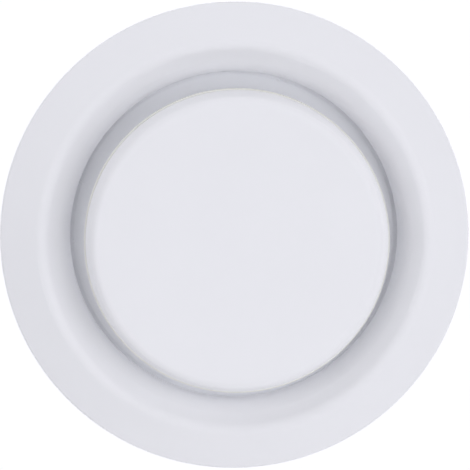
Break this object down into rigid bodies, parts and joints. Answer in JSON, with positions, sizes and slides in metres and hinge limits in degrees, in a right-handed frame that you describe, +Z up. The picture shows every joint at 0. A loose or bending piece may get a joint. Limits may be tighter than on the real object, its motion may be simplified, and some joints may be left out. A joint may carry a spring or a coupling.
{
  "type": "ventilation disc valve",
  "caption": "Round ventilation disc valve for a wall or ceiling duct: a flanged ring with a cone and throat, and a disc that screws in and out on a spindle to set the air gap.",
  "frame": {"origin": "on the valve's axis, in the plane of the wall surface, which is the rear face of the collar's flange and of the rim gasket", "axes": "+Y runs along the axis into the duct, +Z is up the wall, +X is to the right as seen from the room; the face looks along -Y"},
  "size_m": [0.162, 0.074, 0.162],
  "materials": {
    "white_powder_coat": "satin",
    "galvanised": "spangled matt",
    "zinc_plated": "bright zinc",
    "spring_steel": "satin",
    "rivet_aluminium": "satin",
    "black_rubber": "matt",
    "pale_rubber": "matt",
    "grey_foam": "closed-cell foam"
  },
  "bodies": {
    "collar": {"mounting_collar": "galvanised", "collar_lip_seal": "black_rubber"},
    "valve": {"face_ring": "white_powder_coat", "rim_gasket": "grey_foam", "throat_sleeve": "white_powder_coat", "crossbar": "zinc_plated", "crossbar_rivets": "rivet_aluminium", "bridge_nut": "zinc_plated", "spring_clip_1": "spring_steel", "spring_clip_2": "spring_steel", "spring_clip_3": "spring_steel", "clip_rivets": "rivet_aluminium"},
    "stop": {"stop_washer": "zinc_plated"},
    "disc": {"disc_pan": "white_powder_coat", "disc_seal": "pale_rubber", "disc_boss": "zinc_plated", "spindle": "zinc_plated", "spindle_circlip": "spring_steel"},
    "washer": {"lock_washer": "zinc_plated"},
    "nut": {"lock_nut": "zinc_plated"}
  },
  "joints": [
    {"name": "valve_pull", "type": "slide", "parent": "collar", "child": "valve", "axis": [0, -1, 0], "range_m": [0, 0.05]},
    {"name": "disc_travel", "type": "slide", "parent": "valve", "child": "stop", "axis": [0, -1, 0], "range_m": [-0.02002, 0.012]},
    {"name": "disc_turn", "type": "hinge", "parent": "stop", "child": "disc", "pos_m": [0, 0, 0], "axis": [0, -1, 0], "range_deg": [-5766, 3456]},
    {"name": "lock_nut_travel", "type": "slide", "parent": "valve", "child": "washer", "axis": [0, 1, 0], "range_m": [0, 0.000625]},
    {"name": "lock_nut_turn", "type": "hinge", "parent": "washer", "child": "nut", "pos_m": [0, 0.028, 0], "axis": [0, 1, 0], "range_deg": [0, 180]}
  ],
  "couplings": [
    {"joint": "disc_turn", "follows": "disc_travel", "rad_per_m": 5026.5},
    {"joint": "lock_nut_turn", "follows": "lock_nut_travel", "rad_per_m": 5026.5}
  ]
}
